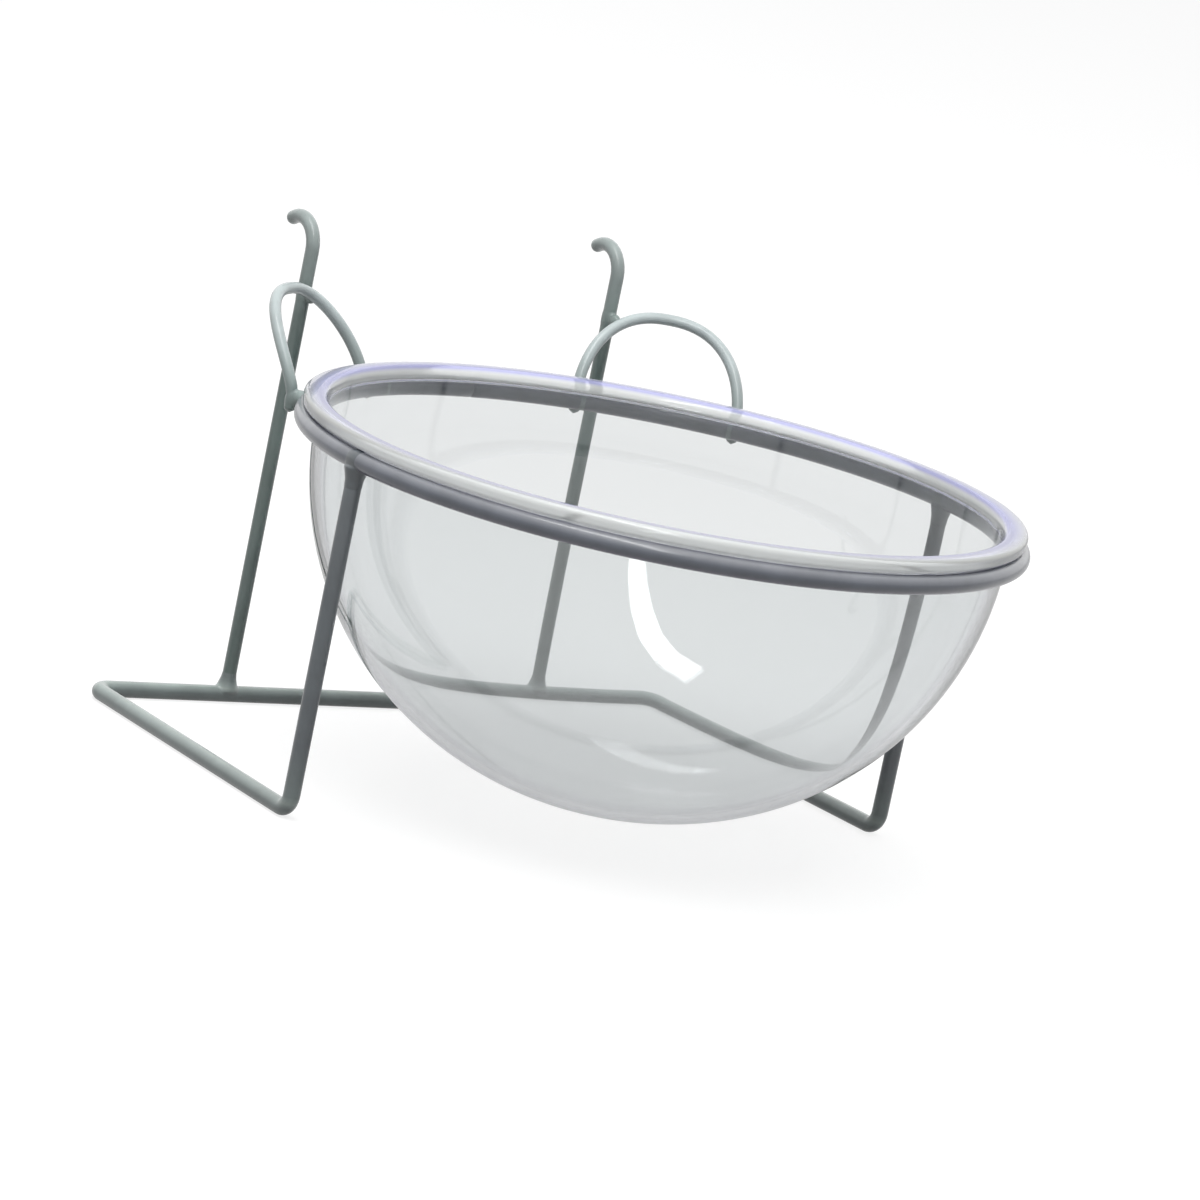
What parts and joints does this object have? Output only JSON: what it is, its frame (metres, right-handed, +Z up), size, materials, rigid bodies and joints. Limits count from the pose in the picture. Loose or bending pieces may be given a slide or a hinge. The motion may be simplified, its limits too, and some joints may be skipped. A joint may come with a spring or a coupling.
{
  "type": "hanging feeding bowl",
  "caption": "Clear round-bottomed feeding bowl with a flat rim, resting in a ring of a coated wire stand that hooks over a cage wire.",
  "frame": {"origin": "middle of the underside of the bounding box, on the level that the floor wire stands on", "axes": "+Z up, +Y to the rear where the hooks reach over the cage wire, +X to the right seen from the bowl's front"},
  "size_m": [0.1556, 0.1732, 0.1072],
  "materials": {
    "clear_plastic": "clear, glossy",
    "coated_wire": "satin coating",
    "pale_coated_wire": "satin coating"
  },
  "bodies": {
    "stand": {"support_ring": "coated_wire", "base_wire": "coated_wire", "left_upright_hook": "coated_wire", "right_upright_hook": "coated_wire", "left_ear": "pale_coated_wire", "right_ear": "pale_coated_wire", "weld_left_leg": "coated_wire", "weld_left_upright": "coated_wire", "weld_left_ear_inner": "coated_wire", "weld_left_ear_outer": "coated_wire", "weld_left_ear_upright": "coated_wire", "weld_right_leg": "coated_wire", "weld_right_upright": "coated_wire", "weld_right_ear_inner": "coated_wire", "weld_right_ear_outer": "coated_wire", "weld_right_ear_upright": "coated_wire"},
    "bowl": {"bowl": "clear_plastic"}
  },
  "joints": [
    {"name": "bowl_lift", "type": "slide", "parent": "stand", "child": "bowl", "axis": [0, 0, 1], "range_m": [0, 0.105]}
  ]
}
